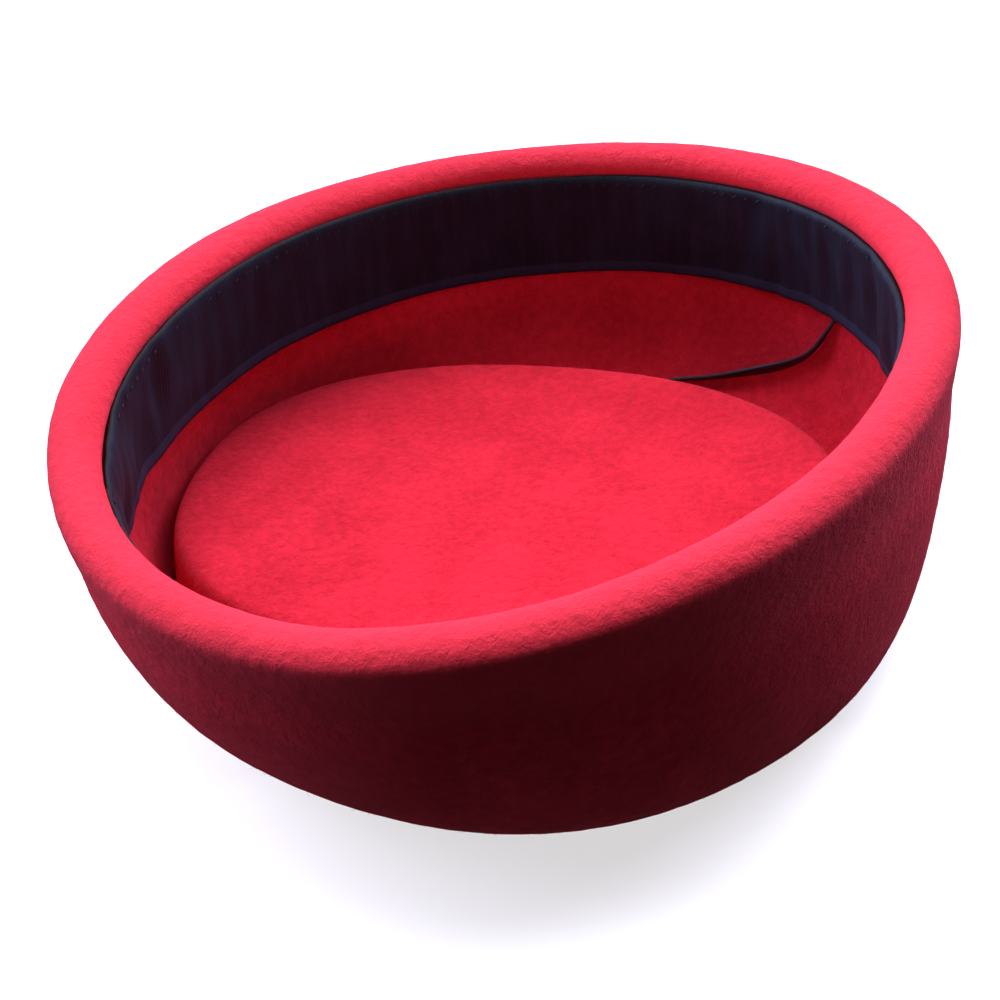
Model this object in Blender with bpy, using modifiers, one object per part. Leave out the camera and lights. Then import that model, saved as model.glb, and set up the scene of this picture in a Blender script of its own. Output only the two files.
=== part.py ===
"""Pillbox hat of blocked wool felt, lying on its crown with the mouth up: one felt body, a ribbon sweatband and a tape.

Metres, +Z up. X runs along the hat's long axis, and the hat rests on the plane Z = 0.
"""

import bpy
from math import atan2, copysign, cos, pi, radians, sin
from mathutils import Vector

# Mouth, over the outside of the rolled edge
MOUTH_LENGTH = 0.2174
MOUTH_WIDTH = 0.1862
MOUTH_SQUARENESS = 2.11
MOUTH_TAPER = 0.049

# Crown, from the foot up to the middle of the rolled edge
CROWN_DEPTH = 0.0678
FELT_THICKNESS = 0.0026

# Rolled edge, measured from the rim line that runs through its middle
ROLL_OUTWARD = 0.0050
ROLL_INWARD = 0.0070
ROLL_RISE = 0.0046
PINCH_DEPTH = 0.0009
LIP_LENGTH = 0.0090
LIP_CLEARANCE = 0.0004

# Tip, pushed in from outside
TIP_LENGTH = 0.1616
TIP_WIDTH = 0.1170
TIP_SQUARENESS = 2.34
TIP_TURN = radians(-70)
TIP_CENTRE_X = 0.0026
TIP_CENTRE_Y = 0.0088
TIP_RECESS = 0.0195
TIP_CROWNING = 0.0012
GROOVE_REACH = 0.0030
FOOT_FLAT = 0.0030

# Sweatband and tape
BAND_WIDTH = 0.0306
BAND_THICKNESS = 0.0010
BAND_TOP_DROP = 0.0007
BAND_FLARE = 0.0037
BAND_CLEARANCE = 0.0004
BAND_WALL_CLEARANCE = 0.0007
TAPE_WIDTH = 0.0040
TAPE_THICKNESS = 0.0008
TAPE_CLEARANCE = 0.0004

COLUMNS = 64
WALL_ROWS = 11
ROLL_STEPS = 9

# Height of the rim line round the mouth: direction in degrees, height as a share of the crown's depth
RIM_HEIGHTS = (
    (0, 0.945),
    (30, 0.931),
    (60, 0.970),
    (90, 1.019),
    (120, 0.993),
    (150, 0.922),
    (180, 0.923),
    (210, 1.018),
    (240, 1.089),
    (270, 1.075),
    (300, 1.025),
    (330, 0.984),
)

# How much further out the rolled edge swells than its named reach: direction in degrees, share of that reach
ROLL_SWELL = (
    (0, 0.18),
    (30, -0.06),
    (60, 0.02),
    (90, 0.34),
    (120, 0.12),
    (150, -0.14),
    (180, -0.04),
    (210, 0.00),
    (240, 0.00),
    (270, 0.00),
    (300, 0.08),
    (330, 0.20),
)

# How full the wall stands before it turns in to the foot: direction in degrees, power of the wall's curve
WALL_FULLNESS = (
    (0, 2.9),
    (45, 2.2),
    (90, 1.6),
    (135, 1.6),
    (180, 2.6),
    (225, 4.2),
    (270, 4.4),
    (315, 4.5),
)
WALL_DROP_POWER = 1.77

# Recess round the tip: share of the way in from the foot ring to the tip's underside, share of the recess's height
RECESS_ROWS = (
    (0.10, 0.03),
    (0.28, 0.14),
    (0.45, 0.36),
    (0.58, 0.62),
    (0.72, 0.85),
    (0.86, 0.96),
    (1.00, 1.00),
)

# Underside of the tip: share of the way out from its centre, share of the crowning
TIP_ROWS = (
    (0.90, 0.10),
    (0.66, 0.45),
    (0.36, 0.85),
)

# Tape on the wall: direction in degrees, share of the wall's drop, lean off the wall in right angles, share of its width
TAPE_ROUTE = (
    (334.9, 0.470, 1.10, 0.18),
    (336.0, 0.530, 1.20, 0.30),
    (337.2, 0.590, 1.20, 0.62),
    (339.2, 0.690, 1.12, 1.00),
    (342.8, 0.782, 0.84, 1.00),
    (349.0, 0.855, 0.82, 1.00),
    (357.8, 0.907, 1.10, 1.00),
    (366.4, 0.932, 1.20, 1.00),
)
TAPE_SECTIONS = 21


def smooth_between(before, start, end, after, share):
    """Value of a smooth curve through four equally spaced values, between the two middle ones."""
    slope_in = (end - before) / 2
    slope_out = (after - start) / 2
    rest = 1 - share
    return (
        start * (1 + 2 * share) * rest * rest
        + slope_in * share * rest * rest
        + end * share * share * (3 - 2 * share)
        - slope_out * share * share * rest
    )


def round_the_hat(table, turn):
    """Smooth value of a table of (direction, value) rows, equally spaced all round, at the direction turn."""
    count = len(table)
    place = (turn / (2 * pi) * count) % count
    row = int(place)
    values = [table[(row + step) % count][1] for step in (-1, 0, 1, 2)]
    return smooth_between(*values, place - row)


def along_route(table, share):
    """Smooth values, at a share of its length, of a table whose rows are the stations of a route."""
    place = share * (len(table) - 1)
    row = min(int(place), len(table) - 2)
    steps = [min(max(row + step, 0), len(table) - 1) for step in (-1, 0, 1, 2)]
    return [
        smooth_between(*(table[step][column] for step in steps), place - row)
        for column in range(len(table[0]))
    ]


def superellipse_radius(half_length, half_width, squareness, direction):
    """Distance from the centre to a rounded oval's edge, in one direction."""
    across = abs(cos(direction)) / half_length
    along = abs(sin(direction)) / half_width
    return (across**squareness + along**squareness) ** (-1 / squareness)


def rim_line(turn, outward=0.0):
    """Plan point on the rim line, a rounded oval, moved outward from the middle by a distance."""
    power = 2 / MOUTH_SQUARENESS
    along = copysign(abs(cos(turn)) ** power, cos(turn))
    across = copysign(abs(sin(turn)) ** power, sin(turn))
    x = (MOUTH_LENGTH / 2 - ROLL_OUTWARD) * along
    y = (MOUTH_WIDTH / 2 - ROLL_OUTWARD) * across * (1 - MOUTH_TAPER * along)
    point = Vector((x, y))
    return point + point.normalized() * outward


def roll_reach(turn):
    """How far out of the rim line the rolled edge reaches."""
    return ROLL_OUTWARD * (1 + round_the_hat(ROLL_SWELL, turn))


def rim_height(turn):
    return CROWN_DEPTH * round_the_hat(RIM_HEIGHTS, turn)


def tip_ring(turn, inward=0.0, share=1.0):
    """Plan point round the tip, in the direction of the rim line's point, moved inward or shrunk."""
    centre = Vector((TIP_CENTRE_X, TIP_CENTRE_Y))
    aim = rim_line(turn).normalized()
    near, far = 0.0, MOUTH_LENGTH
    for _ in range(40):
        middle = (near + far) / 2
        offset = aim * middle - centre
        direction = atan2(offset.y, offset.x) - TIP_TURN
        edge = superellipse_radius(TIP_LENGTH / 2 - inward, TIP_WIDTH / 2 - inward, TIP_SQUARENESS, direction)
        if offset.length < edge:
            near = middle
        else:
            far = middle
    return centre + (aim * near - centre) * share


def foot_ring(turn, inward=0.0):
    return tip_ring(turn, inward - GROOVE_REACH)


def wall_point(turn, drop):
    """Point of the wall's outer face at a share of the way down from the rim line to the foot."""
    reach = (1 - drop**WALL_DROP_POWER) ** (1 / round_the_hat(WALL_FULLNESS, turn))
    foot = foot_ring(turn, -FOOT_FLAT / 2)
    edge = rim_line(turn, roll_reach(turn))
    pinch = PINCH_DEPTH * sin(pi * min(drop * 3, 1)) ** 2
    plan = foot.lerp(edge, reach) - edge.normalized() * pinch
    return Vector((plan.x, plan.y, rim_height(turn) * (1 - drop)))


def wall_inside(turn, drop, clearance):
    """Point held off the wall's inner face by a clearance, and the direction that points away from the wall."""
    step = 0.01
    down = wall_point(turn, min(drop + step, 1)) - wall_point(turn, max(drop - step, 0))
    round_it = wall_point(turn + step, drop) - wall_point(turn - step, drop)
    inward = round_it.cross(down).normalized()
    return wall_point(turn, drop) + inward * (FELT_THICKNESS + clearance), inward


def roll_point(turn, angle):
    """Point of the rolled edge's outer face; the angle runs from its outermost line over the top to its inner side."""
    middle = (roll_reach(turn) - ROLL_INWARD) / 2
    reach = (roll_reach(turn) + ROLL_INWARD) / 2
    plan = rim_line(turn, middle + reach * cos(angle))
    return Vector((plan.x, plan.y, rim_height(turn) + ROLL_RISE * sin(angle)))


def lip_rows(turn):
    """The turned-in lip behind the sweatband, from its free end up to the roll."""
    start = roll_point(turn, radians(205))
    inner_wall = roll_reach(turn) - FELT_THICKNESS - PINCH_DEPTH
    end_plan = rim_line(turn, inner_wall - FELT_THICKNESS - LIP_CLEARANCE)
    end = Vector((end_plan.x, end_plan.y, start.z - LIP_LENGTH))
    return [end.lerp(start, share) for share in (0.0, 0.35, 0.7)]


def felt_section(turn):
    """The felt's outer face in one direction: lip, rolled edge, wall, foot, recess and tip."""
    points = lip_rows(turn)
    points += [roll_point(turn, radians(205 * (1 - step / ROLL_STEPS))) for step in range(ROLL_STEPS + 1)]
    points += [wall_point(turn, row / WALL_ROWS) for row in range(1, WALL_ROWS)]
    for share in (0.965, 1.0):
        points.append(wall_point(turn, share))
    foot = foot_ring(turn, FOOT_FLAT / 2)
    points.append(Vector((foot.x, foot.y, 0.0)))
    underside = tip_ring(turn, FELT_THICKNESS)
    for way_in, height in RECESS_ROWS:
        plan = foot.lerp(underside, way_in)
        points.append(Vector((plan.x, plan.y, TIP_RECESS * height)))
    for share, crowning in TIP_ROWS:
        plan = tip_ring(turn, FELT_THICKNESS, share)
        points.append(Vector((plan.x, plan.y, TIP_RECESS - TIP_CROWNING * crowning)))
    return points


def loft(name, sections, closed_round, end_point=None):
    """Mesh lofted through sections of equally many points, each section a line of points."""
    rows = len(sections[0])
    count = len(sections)
    vertices = [point for section in sections for point in section]
    faces = []
    for column in range(count if closed_round else count - 1):
        here = column * rows
        there = ((column + 1) % count) * rows
        for row in range(rows - 1):
            faces.append((here + row, here + row + 1, there + row + 1, there + row))
        if end_point is not None:
            faces.append((here + rows - 1, len(vertices), there + rows - 1))
    if end_point is not None:
        vertices.append(end_point)
    mesh = bpy.data.meshes.new(name)
    mesh.from_pydata(vertices, [], faces)
    mesh.validate()
    return mesh


def add_piece(name, mesh, collection, material):
    piece = bpy.data.objects.new(name, mesh)
    collection.objects.link(piece)
    mesh.materials.append(material)
    mesh.shade_smooth()
    return piece


def add_thickness(piece, thickness):
    shell = piece.modifiers.new("Thickness", "SOLIDIFY")
    shell.thickness = thickness
    shell.offset = -1
    shell.use_even_offset = True


def make_material(name, colour, roughness):
    material = bpy.data.materials.new(name)
    material.use_nodes = True
    shader = material.node_tree.nodes["Principled BSDF"]
    shader.inputs["Base Color"].default_value = (*colour, 1)
    shader.inputs["Roughness"].default_value = roughness
    shader.inputs["Metallic"].default_value = 0
    return material


def turns():
    return [2 * pi * column / COLUMNS for column in range(COLUMNS)]


def build_felt_body(collection):
    """Tip, wall and rolled edge as one shell of felt."""
    centre = Vector((TIP_CENTRE_X, TIP_CENTRE_Y, TIP_RECESS - TIP_CROWNING))
    mesh = loft("felt_body", [felt_section(turn) for turn in turns()], True, centre)
    felt = make_material("red_wool_felt", (0.60, 0.012, 0.045), 0.95)
    add_thickness(add_piece("felt_body", mesh, collection, felt), FELT_THICKNESS)


def band_section(turn):
    """The sweatband's felt side in one direction, from its sewn top edge down to its free edge."""
    top = -(ROLL_INWARD + BAND_CLEARANCE)
    points = []
    for share in (0.0, 0.25, 0.5, 0.75, 1.0):
        below = BAND_TOP_DROP + BAND_WIDTH * share
        felt, _ = wall_inside(turn, below / rim_height(turn), BAND_WALL_CLEARANCE)
        room = felt.xy.length - rim_line(turn).length
        plan = rim_line(turn, min(top + BAND_FLARE * share, room))
        points.append(Vector((plan.x, plan.y, rim_height(turn) - below)))
    return points


def build_sweatband(collection):
    """Ribbon round the inside of the mouth, sewn at its top edge and free at the bottom."""
    mesh = loft("sweatband", [band_section(turn) for turn in turns()], True)
    ribbon = make_material("navy_ribbon", (0.010, 0.009, 0.022), 0.6)
    add_thickness(add_piece("sweatband", mesh, collection, ribbon), BAND_THICKNESS)


def tape_section(share):
    """Four corners of the tape's cross-section at a share of its length."""
    degrees, drop, stand, breadth = along_route(TAPE_ROUTE, share)
    ahead, drop_ahead, _, _ = along_route(TAPE_ROUTE, min(share + 0.02, 1.0))
    back, drop_back, _, _ = along_route(TAPE_ROUTE, max(share - 0.02, 0.0))
    lift = TAPE_CLEARANCE + TAPE_THICKNESS / 2
    foot, away = wall_inside(radians(degrees), drop, lift)
    ahead_point, _ = wall_inside(radians(ahead), drop_ahead, lift)
    back_point, _ = wall_inside(radians(back), drop_back, lift)
    forward = (ahead_point - back_point).normalized()
    sideways = forward.cross(away).normalized()
    lean = stand * pi / 2
    across = (away * sin(lean) + sideways * cos(lean)) * TAPE_WIDTH * breadth
    thick = forward.cross(across).normalized() * (TAPE_THICKNESS / 2)
    return [foot - thick, foot + thick, foot + across + thick, foot + across - thick]


def build_inner_tape(collection):
    """Narrow tape on edge from under the sweatband, down the wall and into the groove behind the tip."""
    sections = [tape_section(step / (TAPE_SECTIONS - 1)) for step in range(TAPE_SECTIONS)]
    vertices = [point for section in sections for point in section]
    faces = [(0, 1, 2, 3)]
    for step in range(TAPE_SECTIONS - 1):
        for side in range(4):
            a, b = step * 4 + side, step * 4 + (side + 1) % 4
            faces.append((a, a + 4, b + 4, b))
    last = (TAPE_SECTIONS - 1) * 4
    faces.append((last + 3, last + 2, last + 1, last))
    mesh = bpy.data.meshes.new("inner_tape")
    mesh.from_pydata(vertices, [], faces)
    mesh.validate()
    tape = make_material("navy_tape", (0.012, 0.010, 0.028), 0.55)
    add_piece("inner_tape", mesh, collection, tape)


def main():
    for old in list(bpy.data.objects):
        bpy.data.objects.remove(old)
    collection = bpy.data.collections.new("pillbox_hat")
    bpy.context.scene.collection.children.link(collection)
    build_felt_body(collection)
    build_sweatband(collection)
    build_inner_tape(collection)


main()
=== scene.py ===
"""Pillbox hat of red wool felt, lying on its crown: the finish of its felt, its ribbon sweatband and its tape."""

import random
from math import atan2, copysign, cos, pi, radians, sin

import bmesh
import bpy
from mathutils import Matrix, Vector, noise
from mathutils.bvhtree import BVHTree


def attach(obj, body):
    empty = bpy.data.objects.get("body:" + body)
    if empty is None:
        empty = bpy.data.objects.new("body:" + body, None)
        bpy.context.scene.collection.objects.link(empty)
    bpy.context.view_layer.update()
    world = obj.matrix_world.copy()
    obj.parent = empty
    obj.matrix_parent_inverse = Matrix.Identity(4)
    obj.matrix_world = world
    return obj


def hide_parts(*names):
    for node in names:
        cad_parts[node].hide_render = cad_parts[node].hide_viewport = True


# Lengths are in metres, and scales of noise are per metre.

# Mouth and crown
RIM_HALF_LENGTH = 0.1037
RIM_HALF_WIDTH = 0.0881
RIM_SQUARENESS = 2.11
RIM_TAPER = 0.049
CROWN_DEPTH = 0.0678
RIM_HEIGHTS = (0.945, 0.931, 0.970, 1.019, 0.993, 0.922, 0.923, 1.018, 1.089, 1.075, 1.025, 0.984)

# Rounded copies of the CAD meshes
ROUNDING_LEVELS = 2
WELD_DISTANCE = 0.00001
CREASE_ANGLE = radians(50)
CREASE = 0.9

# Felt: scale and height of each layer of its uneven surface
FELT_SWELL = (30, 0.00030)
FELT_CLUMP = (320, 0.00012)
FELT_LINT = (900, 0.00006)
FOOT_FADE = 0.01
FELT_DEEP = (0.55, 0.007, 0.022, 1)
FELT_BRIGHT = (0.90, 0.023, 0.055, 1)
# Painted highlight on the rolled edge: its paler, pinker colour, the heights where it fades in, and its share
FELT_PAINTED_HIGHLIGHT = (0.97, 0.064, 0.108, 1)
HIGHLIGHT_FROM = 0.046
HIGHLIGHT_TO = 0.064
HIGHLIGHT_SHARE = 0.4

# Loose fibres on the felt
HAIRS = 9000
HAIR_SEED = 7
HAIR_LENGTH = 0.0011
HAIR_RADIUS = 0.00003
HAIR_TIP = 0.3
HAIR_ROOT_DEPTH = 0.00015
HAIRS_FROM = 0.004
ROLL_FROM = 0.055
ROLL_HAIRS = 2.0
HAIR_RED = (0.60, 0.020, 0.060, 1)

# Ribbon sweatband
RIBBON_WIDTH = 0.0306
RIBBON_THICKNESS = 0.0006
RIBBON_TOP_DROP = 0.0007
RIBBON_COLUMNS = 480
RIBBON_ROWS = 30
RIBBON_PUCKER = 0.0022
RIBBON_SEWN_INSET = 0.008
RIBBON_RAY_MARGIN = 0.03
LOOP_STEPS = 360
SELVEDGE_WIDTH = 0.0030
SELVEDGE_STEP = 0.00025
SELVEDGE_BLUR = 0.0003
RIB_PITCH = 0.00065
PICK_PITCH = 0.00042
RIBBON_DARK = (0.0020, 0.010, 0.024, 1)
RIBBON_LIGHT = (0.014, 0.030, 0.070, 1)
# Painted shade: near-black colour for the ribbon's top edge, where it runs under the rolled edge
RIBBON_TOP_SHADE = (0.0012, 0.0016, 0.0040, 1)

# The ribbon's top is tucked under the rolled edge, most where it is away from one direction
TUCK_OUT = 0.0016
TUCK_DOWN = 0.0016
TUCK_SHARE = 0.10
TUCK_LEAST = 0.35
TUCK_SPREAD = 0.75
TUCK_AWAY_FROM = radians(90)

# Stitches
STITCH_INSET = 0.0083
STITCH_PITCH = 0.0034
STITCH_LENGTH = 0.0016
STITCH_DROP = 0.0032
STITCH_HALF_DEPTH = 0.00016
STITCH_HALF_WIDTH = 0.00022
STITCH_STEP = 0.01
THREAD_NAVY = (0.005, 0.008, 0.020, 1)

# Tape: where its hidden end begins to sink behind the tip, and how far it goes
TAPE_SINKS_FROM = radians(-15)
TAPE_SINKS_TO = radians(6)
TAPE_END_INWARD = 0.0008
TAPE_END_SINK = 0.0011
TAPE_NAVY = (0.003, 0.009, 0.024, 1)

# Camera
VIEW_TARGET = (-0.00421, 0.00586, 0.02553)
VIEW_DISTANCE = 0.400
VIEW_AZIMUTH = radians(-54.31)
VIEW_ELEVATION = radians(36.67)
VIEW_ROLL = -0.094
LENS = 61.2

# Suns: direction, elevation, strength, spread and colour
WHITE = (1, 1, 1)
VIOLET_WHITE = (0.97, 0.92, 1.20)
OVERHEAD = (radians(38), radians(72), 2.6, radians(44), WHITE)
LEFT_EDGE = (radians(97), radians(28), 2.8, radians(50), VIOLET_WHITE)
RIGHT_EDGE = (radians(-12), radians(33), 2.8, radians(50), VIOLET_WHITE)
FLOOR_FILL = (radians(65), radians(74), 2.6, radians(30), WHITE)

# Small light over the mouth, world and floor
INNER_FILL_PLACE = (-0.030, -0.020, 0.125)
INNER_FILL_AIM = (0.070, 0.050, 0.035)
INNER_FILL_POWER = 0.035
INNER_FILL_SIZE = 0.08
WORLD_STRENGTH = 0.03
FLOOR_HALF_SIZE = 4
FLOOR_COLOUR = (0.86, 0.86, 0.87, 1)


class Wire:
    """A value that runs between the nodes of one material; arithmetic on it adds Math nodes."""

    def __init__(self, tree, socket=None):
        self.tree = tree
        self.socket = socket

    def node(self, kind, settings=None, inputs=None, output=0):
        """Adds a node: its settings first, then the values or wires of its inputs."""
        made = self.tree.nodes.new(kind)
        for name, value in (settings or {}).items():
            setattr(made, name, value)
        for name, value in (inputs or {}).items():
            if isinstance(value, Wire):
                self.tree.links.new(value.socket, made.inputs[name])
            else:
                made.inputs[name].default_value = value
        return Wire(self.tree, made.outputs[output])

    def maths(self, operation, first, second):
        return self.node("ShaderNodeMath", {"operation": operation}, {0: first, 1: second})

    def __add__(self, other):
        return self.maths("ADD", self, other)

    def __sub__(self, other):
        return self.maths("SUBTRACT", self, other)

    def __mul__(self, other):
        return self.maths("MULTIPLY", self, other)

    def between(self, low, high):
        """0 below low, 1 above high, and smooth from one to the other."""
        return self.node(
            "ShaderNodeMapRange",
            {"interpolation_type": "SMOOTHSTEP"},
            {"Value": self, "From Min": low, "From Max": high},
        )

    def mix(self, first, second):
        """Colour mixed from two by this value."""
        return self.node("ShaderNodeMix", {"data_type": "RGBA"}, {0: self, 6: first, 7: second}, output=2)

    def part(self, axis):
        """One coordinate of this vector."""
        return self.node("ShaderNodeSeparateXYZ", {}, {"Vector": self}, output=axis)

    def mapped(self, **settings):
        """This vector turned and scaled."""
        return self.node("ShaderNodeMapping", {}, {"Vector": self, **settings})

    def noise(self, scale, detail, roughness):
        """Noise at the place that this vector gives."""
        return self.node(
            "ShaderNodeTexNoise",
            {},
            {"Vector": self, "Scale": scale, "Detail": detail, "Roughness": roughness},
        )


def new_finish(name, **constants):
    """A material with the constants set on its shader, and what its nodes start from."""
    finish = bpy.data.materials.new(name)
    finish.use_nodes = True
    shader = finish.node_tree.nodes["Principled BSDF"]
    for socket, value in constants.items():
        shader.inputs[socket.replace("_", " ")].default_value = value
    return finish, shader, Wire(finish.node_tree)


def connect(wire, shader, socket):
    wire.tree.links.new(wire.socket, shader.inputs[socket])


def add_bump(height, shader, strength, distance):
    bump = height.node("ShaderNodeBump", {}, {"Strength": strength, "Distance": distance, "Height": height})
    connect(bump, shader, "Normal")


def felt_finish(name, deep, bright, painted_highlight):
    """Brushed wool felt: matted fibres in clumps, mottled colour, and a painted highlight: paler, pinker colour
    painted on the rolled edge by height.
    """
    finish, shader, start = new_finish(
        name,
        Roughness=0.95,
        Specular_IOR_Level=0.1,
        Sheen_Weight=0.12,
        Sheen_Roughness=0.5,
        Sheen_Tint=(1.0, 0.45, 0.72, 1),
    )
    place = start.node("ShaderNodeTexCoord", output="Object")
    brushed = place.mapped(Rotation=(0.5, 0.3, 0.9), Scale=(1.0, 3.2, 3.2))
    clumps = place.noise(420, 4, 0.6)
    fibres = brushed.noise(900, 5, 0.65)
    grains = place.noise(3600, 2, 0.5)
    blotches = place.noise(55, 3, 0.5)
    matted = clumps.between(0.3, 0.7) * 0.35 + fibres.between(0.3, 0.7) * 0.35
    shade = matted + blotches.between(0.35, 0.65) * 0.3
    # Painted highlight: the felt high up on the rolled edge is painted paler and pinker
    highlit_roll = place.part("Z").between(HIGHLIGHT_FROM, HIGHLIGHT_TO)
    connect((highlit_roll * HIGHLIGHT_SHARE).mix(shade.mix(deep, bright), painted_highlight), shader, "Base Color")
    add_bump(clumps * 1.3 + fibres * 0.5 + grains * 0.3 + blotches, shader, 0.6, 0.0014)
    return finish


def ribbon_finish(name, dark, light, painted_top_shade):
    """Ribbed ribbon with upright streaks, a paler hem along its free edge and painted shade along its top edge,
    where it runs under the rolled edge.
    """
    finish, shader, start = new_finish(name, Roughness=0.6, Specular_IOR_Level=0.25)
    weave = start.node("ShaderNodeUVMap", {"uv_map": "weave"})
    along, across = weave.part("X"), weave.part("Y")
    ribs = along.maths("SINE", along * (2 * pi / RIB_PITCH), 0)
    picks = across.maths("SINE", across * (2 * pi / PICK_PITCH), 0)
    cloudy = start.node("ShaderNodeTexCoord", output="Object").noise(90, 3, 0.5)
    streaks = weave.mapped(Scale=(1.0, 0.12, 1.0)).noise(230, 3, 0.6)
    hem = across.maths("LESS_THAN", across, SELVEDGE_WIDTH)
    uneven = cloudy.between(0.35, 0.7) * 0.25 + streaks.between(0.42, 0.68) * 0.32
    shade = uneven + hem * 0.70 + ribs * 0.10
    # Painted shade: the top millimetre of the ribbon, under the rolled edge, is painted near-black
    shaded_top = across.between(RIBBON_WIDTH - 0.0009, RIBBON_WIDTH - 0.0003)
    connect(shaded_top.mix(shade.mix(dark, light), painted_top_shade), shader, "Base Color")
    fold = across.between(SELVEDGE_WIDTH - SELVEDGE_BLUR, SELVEDGE_WIDTH + SELVEDGE_BLUR)
    add_bump(ribs * 0.5 + picks * 0.15 - fold * 1.2, shader, 0.35, 0.0003)
    return finish


def plain_finish(name, colour, roughness):
    """One colour with a fine grain of lighter specks, for fibres, thread and tape."""
    finish, shader, start = new_finish(name, Roughness=roughness)
    grain = start.node("ShaderNodeTexCoord", output="Object").noise(1600, 3, 0.6)
    lighter = tuple(min(channel * 1.8, 1) for channel in colour[:3]) + (1,)
    connect(grain.mix(colour, lighter), shader, "Base Color")
    add_bump(grain, shader, 0.3, 0.0003)
    return finish


def rim_height(turn):
    """Height of the rolled edge's middle in one direction, smooth through the twelve stated shares."""
    count = len(RIM_HEIGHTS)
    place = (turn / (2 * pi) * count) % count
    row = int(place)
    before, start, end, after = (RIM_HEIGHTS[(row + step) % count] for step in (-1, 0, 1, 2))
    share = place - row
    rest = 1 - share
    smooth = (
        start * (1 + 2 * share) * rest * rest
        + (end - before) / 2 * share * rest * rest
        + end * share * share * (3 - 2 * share)
        - (after - start) / 2 * share * share * rest
    )
    return CROWN_DEPTH * smooth


def rim_point(turn, outward=0.0):
    """Point of the rolled edge's middle line, moved outward from the middle by a distance."""
    power = 2 / RIM_SQUARENESS
    along = copysign(abs(cos(turn)) ** power, cos(turn))
    across = copysign(abs(sin(turn)) ** power, sin(turn))
    plan = Vector((RIM_HALF_LENGTH * along, RIM_HALF_WIDTH * across * (1 - RIM_TAPER * along), 0))
    plan += plan.normalized() * outward
    return plan + Vector((0, 0, rim_height(turn)))


def mesh_of(name, shape):
    """A mesh with what a bmesh holds; the bmesh is freed."""
    mesh = bpy.data.meshes.new(name)
    shape.to_mesh(mesh)
    shape.free()
    return mesh


def add_object(name, data):
    made = bpy.data.objects.new(name, data)
    bpy.context.scene.collection.objects.link(made)
    return made


def add_piece(name, mesh, finish):
    piece = add_object(name, mesh)
    mesh.materials.clear()
    mesh.materials.append(finish)
    mesh.shade_smooth()
    return piece


def smooth_copy(name, node, crease_angle=None):
    """A finer, rounded copy of a CAD node's mesh; edges sharper than the angle stay sharp."""
    cage = bmesh.new()
    cage.from_mesh(node.data)
    bmesh.ops.remove_doubles(cage, verts=cage.verts, dist=WELD_DISTANCE)
    bmesh.ops.join_triangles(
        cage,
        faces=cage.faces,
        angle_face_threshold=radians(40),
        angle_shape_threshold=radians(60),
    )
    if crease_angle is not None:
        crease = cage.edges.layers.float.new("crease_edge")
        for edge in cage.edges:
            if edge.calc_face_angle(0) > crease_angle:
                edge[crease] = CREASE
    piece = add_object(name, mesh_of(name, cage))
    rounding = piece.modifiers.new("Rounding", "SUBSURF")
    rounding.levels = ROUNDING_LEVELS
    rounding.render_levels = ROUNDING_LEVELS
    bpy.context.view_layer.update()
    fine = bpy.data.meshes.new_from_object(piece.evaluated_get(bpy.context.evaluated_depsgraph_get()))
    bpy.data.objects.remove(piece)
    return fine


def felt_hat(finish):
    """The felt, with the uneven surface that blocking and brushing leave."""
    mesh = smooth_copy("felt_hat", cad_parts["felt_body"])
    rough = bmesh.new()
    rough.from_mesh(mesh)
    rough.normal_update()
    for spot in rough.verts:
        place = spot.co
        swell, clump, lint = (
            noise.noise(place * scale) * height for scale, height in (FELT_SWELL, FELT_CLUMP, FELT_LINT)
        )
        spot.co = place + spot.normal * (swell * min(place.z / FOOT_FADE, 1) + clump + lint)
        spot.co.z = max(spot.co.z, 0.0)
    rough.to_mesh(mesh)
    rough.free()
    hat = add_piece("felt_hat", mesh, finish)
    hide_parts("felt_body")
    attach(hat, "root")
    return hat


def loose_hairs(hat, finish):
    """Fine fibres that lie loose on the brushed felt, thicker on the rolled edge than on the tip."""
    chance = random.Random(HAIR_SEED)
    faces = [face for face in hat.data.polygons if face.center.z > HAIRS_FROM]
    weights = [face.area * (ROLL_HAIRS if face.center.z > ROLL_FROM else 1.0) for face in faces]
    nap = bmesh.new()
    single = bmesh.new()
    bmesh.ops.create_cone(
        single,
        segments=3,
        radius1=HAIR_RADIUS,
        radius2=HAIR_RADIUS * HAIR_TIP,
        depth=1,
        cap_ends=True,
    )
    fibre = mesh_of("fibre", single)
    for face in chance.choices(faces, weights, k=HAIRS):
        sideways = face.normal.orthogonal().normalized()
        sideways.rotate(Matrix.Rotation(chance.uniform(0, 2 * pi), 3, face.normal))
        lean = radians(chance.uniform(5, 40))
        lay = sideways * cos(lean) + face.normal * sin(lean)
        length = HAIR_LENGTH * chance.uniform(0.5, 1.5)
        place = Matrix.Translation(face.center + lay * (length / 2 - HAIR_ROOT_DEPTH))
        turned = lay.to_track_quat("Z", "Y").to_matrix().to_4x4()
        laid = fibre.copy()
        laid.transform(place @ turned @ Matrix.Diagonal((1, 1, length, 1)))
        nap.from_mesh(laid)
        bpy.data.meshes.remove(laid)
    hairs = add_piece("loose_hairs", mesh_of("loose_hairs", nap), finish)
    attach(hairs, "root")


def pucker(turn, share):
    """How far the ribbon stands off its resting shape: soft upright folds, deepest at the hat's left and right."""
    left = max(cos(turn - radians(130)), 0) ** 4
    right = max(cos(turn - radians(-35)), 0) ** 6
    depth = 0.15 + left + right
    round_it = Vector((cos(turn), sin(turn), 0))
    wide = noise.noise(round_it * 6 + Vector((0, 0, share * 0.7)))
    narrow = noise.noise(round_it * 18 + Vector((0, 0, share * 1.1 + 3)))
    folds = wide + 0.7 * narrow
    return RIBBON_PUCKER * depth * folds * sin(pi * (share * 0.80 + 0.05))


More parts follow.
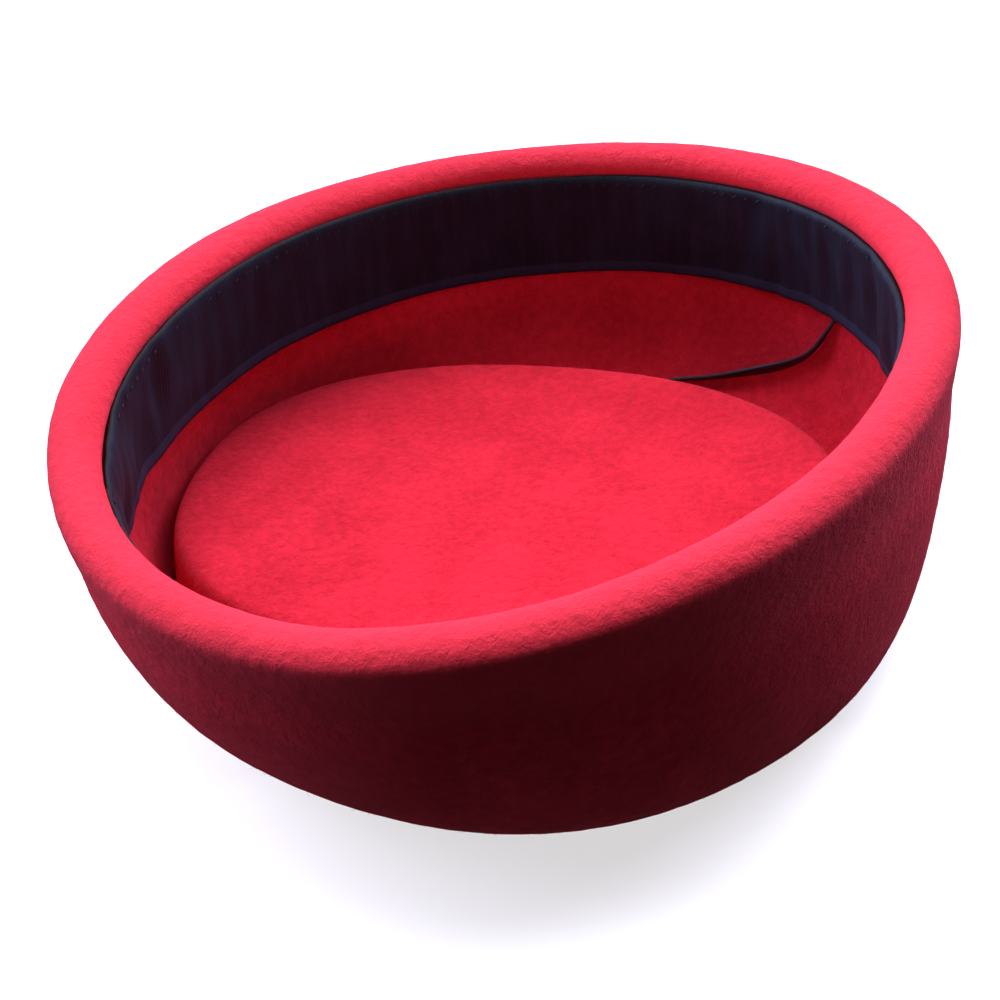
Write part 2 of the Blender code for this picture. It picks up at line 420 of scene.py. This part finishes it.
def ribbon_faces():
    """The CAD ribbon's rounded faces, to be hit by rays from the mouth's middle."""
    solid = smooth_copy("sweatband_solid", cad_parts["sweatband"], CREASE_ANGLE)
    faces = BVHTree.FromPolygons([spot.co for spot in solid.vertices], [face.vertices for face in solid.polygons])
    bpy.data.meshes.remove(solid)
    return faces


def loop_length(inset):
    """Length of the line that runs inside the rolled edge's middle line by a distance."""
    spots = [rim_point(2 * pi * step / LOOP_STEPS, -inset) for step in range(LOOP_STEPS + 1)]
    return sum((ahead - here).length for here, ahead in zip(spots, spots[1:]))


def ribbon_point(turn, share, inner_faces):
    """Point of the ribbon's middle sheet in one direction, at a share of its width below the top edge."""
    out = rim_point(turn)
    height = out.z - RIBBON_TOP_DROP - RIBBON_WIDTH * share
    out.z = 0
    out.normalize()
    held = min(max(share, RIBBON_RAY_MARGIN), 1 - RIBBON_RAY_MARGIN)
    level = rim_height(turn) - RIBBON_TOP_DROP - RIBBON_WIDTH * held
    face, _, _, _ = inner_faces.ray_cast(Vector((0, 0, level)), out)
    hem = SELVEDGE_STEP if RIBBON_WIDTH * (1 - share) < SELVEDGE_WIDTH else 0
    top = max(1 - share / TUCK_SHARE, 0) ** 2
    side = min(TUCK_SPREAD - TUCK_SPREAD * cos(turn - TUCK_AWAY_FROM), 1)
    reach = face.xy.length + RIBBON_THICKNESS / 2 - pucker(turn, share) - hem
    reach += TUCK_OUT * top * (TUCK_LEAST + (1 - TUCK_LEAST) * side)
    return out * reach + Vector((0, 0, height - TUCK_DOWN * top * side))


def ribbon_sweatband(finish, inner_faces):
    """Ribbon sewn along its top edge, a flat strip bent round the mouth with its ends joined."""
    strip = bmesh.new()
    bmesh.ops.create_grid(strip, x_segments=RIBBON_COLUMNS, y_segments=RIBBON_ROWS, size=0.5)
    weave = strip.loops.layers.uv.new("weave")
    length = loop_length(RIBBON_SEWN_INSET)
    for face in strip.faces:
        for corner in face.loops:
            flat = corner.vert.co
            corner[weave].uv = ((flat.x + 0.5) * length, (flat.y + 0.5) * RIBBON_WIDTH)
    for spot in strip.verts:
        spot.co = ribbon_point(2 * pi * (spot.co.x + 0.5), 0.5 - spot.co.y, inner_faces)
    bmesh.ops.remove_doubles(strip, verts=strip.verts, dist=WELD_DISTANCE)
    bmesh.ops.recalc_face_normals(strip, faces=strip.faces)
    ribbon = add_piece("ribbon_sweatband", mesh_of("ribbon_sweatband", strip), finish)
    body = ribbon.modifiers.new("Thickness", "SOLIDIFY")
    body.thickness = RIBBON_THICKNESS
    body.offset = 0
    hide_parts("sweatband")
    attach(ribbon, "root")


def ribbon_stitches(finish, inner_faces):
    """Slip stitches along the ribbon's sewn edge, each a short slanted loop of thread."""
    thread = bmesh.new()
    down = Vector((0, 0, -1))
    size = Matrix.Diagonal((STITCH_LENGTH / 2, STITCH_HALF_DEPTH, STITCH_HALF_WIDTH, 1))
    turn = 0.0
    while turn < 2 * pi:
        here, ahead = rim_point(turn, -STITCH_INSET), rim_point(turn + STITCH_STEP, -STITCH_INSET)
        along = (ahead - here).normalized()
        inward = -Vector((here.x, here.y, 0)).normalized()
        lay = (along * 0.8 + down * 0.6).normalized()
        axes = Matrix((lay, inward, lay.cross(inward))).transposed().to_4x4()
        level = here.z - RIBBON_TOP_DROP - STITCH_DROP
        face, _, _, _ = inner_faces.ray_cast(Vector((0, 0, level)), -inward)
        place = Matrix.Translation(face)
        bmesh.ops.create_uvsphere(thread, u_segments=6, v_segments=5, radius=1, matrix=place @ axes @ size)
        turn += STITCH_STEP * STITCH_PITCH / (ahead - here).length
    stitches = add_piece("ribbon_stitches", mesh_of("ribbon_stitches", thread), finish)
    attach(stitches, "root")


def navy_tape(finish):
    """Narrow tape on edge along the wall, its far end sunk behind the tip."""
    mesh = smooth_copy("navy_tape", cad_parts["inner_tape"], CREASE_ANGLE)
    for spot in mesh.vertices:
        turn = atan2(spot.co.y, spot.co.x)
        sunk = min(max((turn - TAPE_SINKS_FROM) / (TAPE_SINKS_TO - TAPE_SINKS_FROM), 0), 1) ** 1.5
        inward = -Vector((spot.co.x, spot.co.y, 0)).normalized()
        spot.co += sunk * (inward * TAPE_END_INWARD - Vector((0, 0, TAPE_END_SINK)))
    tape = add_piece("navy_tape", mesh, finish)
    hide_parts("inner_tape")
    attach(tape, "root")


def floor():
    """Pale floor that casts no light back on the hat."""
    ground = bmesh.new()
    bmesh.ops.create_grid(ground, x_segments=1, y_segments=1, size=FLOOR_HALF_SIZE)
    pale, shader, _ = new_finish("pale_floor", Roughness=0.9)
    shader.inputs["Base Color"].default_value = FLOOR_COLOUR
    surface = add_piece("floor", mesh_of("floor", ground), pale)
    surface.visible_diffuse = False
    return surface


def camera():
    """The camera that was fitted to the photo."""
    right = Vector((cos(VIEW_AZIMUTH), sin(VIEW_AZIMUTH), 0))
    level = Vector((-sin(VIEW_AZIMUTH), cos(VIEW_AZIMUTH), 0))
    ahead = level * cos(VIEW_ELEVATION) - Vector((0, 0, sin(VIEW_ELEVATION)))
    up = right.cross(ahead)
    turned = Matrix.Rotation(-VIEW_ROLL, 3, ahead)
    right, up = turned @ right, turned @ up
    place = Vector(VIEW_TARGET) - ahead * VIEW_DISTANCE
    data = bpy.data.cameras.new("camera")
    data.lens = LENS
    data.clip_start = 0.01
    view = add_object("camera", data)
    axes = Matrix((right, up, -ahead)).transposed().to_4x4()
    view.matrix_world = Matrix.Translation(place) @ axes
    bpy.context.scene.camera = view


def sun(name, direction, elevation, strength, spread, colour, only=None):
    """Soft parallel light from a direction; with only, it lights that one object and casts no shadow."""
    data = bpy.data.lights.new(name, "SUN")
    data.energy = strength
    data.angle = spread
    data.color = colour
    lamp = add_object(name, data)
    aim = Vector((cos(direction) * cos(elevation), sin(direction) * cos(elevation), sin(elevation)))
    lamp.location = aim
    lamp.rotation_euler = aim.to_track_quat("Z", "Y").to_euler()
    if only:
        lit = bpy.data.collections.new(name)
        lit.objects.link(only)
        lamp.light_linking.receiver_collection = lit
        data.use_shadow = False


def inner_fill():
    """Small soft light over the mouth that fills the far inside wall."""
    data = bpy.data.lights.new("inner_fill", "AREA")
    data.energy = INNER_FILL_POWER
    data.size = INNER_FILL_SIZE
    lamp = add_object("inner_fill", data)
    lamp.location = INNER_FILL_PLACE
    back = Vector(INNER_FILL_PLACE) - Vector(INNER_FILL_AIM)
    lamp.rotation_euler = back.to_track_quat("Z", "Y").to_euler()
    lamp.visible_camera = False


def studio(ground):
    """Lights and world; the view transform keeps the light tones from being pressed together."""
    bpy.context.scene.view_settings.view_transform = "Standard"
    sun("overhead", *OVERHEAD)
    sun("left_edge", *LEFT_EDGE)
    sun("right_edge", *RIGHT_EDGE)
    sun("floor_fill", *FLOOR_FILL, only=ground)
    inner_fill()
    world = bpy.data.worlds.new("studio")
    world.use_nodes = True
    background = world.node_tree.nodes["Background"]
    background.inputs["Color"].default_value = (1, 1, 1, 1)
    background.inputs["Strength"].default_value = WORLD_STRENGTH
    bpy.context.scene.world = world


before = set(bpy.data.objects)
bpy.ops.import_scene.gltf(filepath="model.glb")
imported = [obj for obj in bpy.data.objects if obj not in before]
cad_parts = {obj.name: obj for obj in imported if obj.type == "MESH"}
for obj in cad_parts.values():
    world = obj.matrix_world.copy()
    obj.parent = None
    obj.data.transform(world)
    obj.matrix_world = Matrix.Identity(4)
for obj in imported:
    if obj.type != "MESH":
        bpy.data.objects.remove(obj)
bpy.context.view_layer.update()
camera()
studio(floor())
hat = felt_hat(felt_finish("red_wool_felt", FELT_DEEP, FELT_BRIGHT, FELT_PAINTED_HIGHLIGHT))
loose_hairs(hat, plain_finish("red_wool_hair", HAIR_RED, 0.9))
band_faces = ribbon_faces()
ribbon_sweatband(ribbon_finish("navy_ribbon", RIBBON_DARK, RIBBON_LIGHT, RIBBON_TOP_SHADE), band_faces)
ribbon_stitches(plain_finish("navy_thread", THREAD_NAVY, 0.7), band_faces)
navy_tape(plain_finish("navy_tape", TAPE_NAVY, 0.5))
